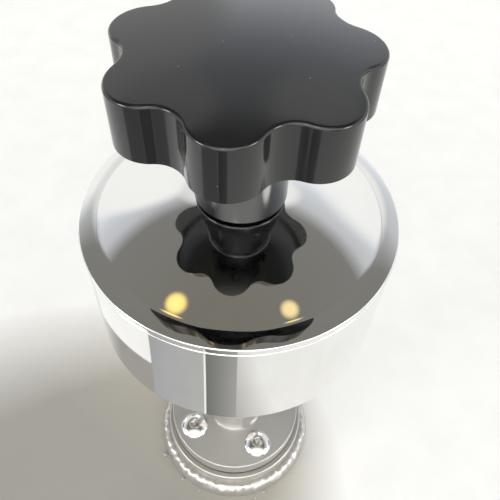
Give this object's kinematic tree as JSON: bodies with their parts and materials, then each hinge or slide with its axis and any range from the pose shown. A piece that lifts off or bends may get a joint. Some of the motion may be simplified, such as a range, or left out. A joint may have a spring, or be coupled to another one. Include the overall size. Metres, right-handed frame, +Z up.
{
  "type": "flow control valve",
  "caption": "Manual flow control valve with a lobed black hand knob, a closed polished drum with a domed cover and a round foot screwed to a welded pad.",
  "frame": {"origin": "middle of the welded pad's underside, on the spindle axis", "axes": "+Z up along the spindle, towards the knob; +Y towards the side inlet"},
  "size_m": [0.071, 0.071, 0.1651],
  "materials": {
    "knob_black": "gloss",
    "drum_chrome": "mirror polished",
    "body_steel": "satin",
    "foot_steel": "satin",
    "weld_metal": "as welded, brushed",
    "screw_steel": "polished",
    "spindle_steel": "ground",
    "brass_parts": "machined",
    "rubber_seals": "matt",
    "gasket_black": "matt",
    "packing_grey": "matt"
  },
  "bodies": {
    "root": {"weld_pad": "foot_steel", "weld_bead": "weld_metal", "base_gasket": "gasket_black", "foot_flange": "body_steel", "stem_tube": "body_steel", "valve_body": "body_steel", "flange_screws": "screw_steel", "inlet_washer": "brass_parts", "inlet_fitting": "body_steel", "seat_ring": "brass_parts", "seat_seal": "rubber_seals", "plug_spring": "spindle_steel", "guide_pin": "spindle_steel", "thrust_nut": "brass_parts", "thrust_washer_lower": "brass_parts", "thrust_washer_upper": "brass_parts", "bonnet": "body_steel", "bonnet_seal": "rubber_seals", "bonnet_screws": "screw_steel", "packing_rings": "packing_grey", "gland_nut": "brass_parts", "drum_plate": "drum_chrome", "drum_shell": "drum_chrome", "dome_cover": "drum_chrome", "dome_bush": "brass_parts"},
    "knob": {"star_knob": "knob_black", "knob_insert": "brass_parts", "knob_set_screw": "screw_steel", "spindle": "spindle_steel"},
    "plug": {"flow_plug": "spindle_steel", "plug_carrier": "brass_parts", "plug_seal": "rubber_seals"}
  },
  "joints": [
    {"name": "knob_turn", "type": "hinge", "parent": "root", "child": "knob", "pos_m": [0, 0, 0.14], "axis": [0, 0, 1], "range_deg": [0, 990]},
    {"name": "plug_lift", "type": "slide", "parent": "root", "child": "plug", "axis": [0, 0, 1], "range_m": [0, 0.0042], "deforming": ["plug_spring"]}
  ],
  "couplings": [
    {"joint": "plug_lift", "follows": "knob_turn", "m_per_rad": 0.0002387}
  ]
}
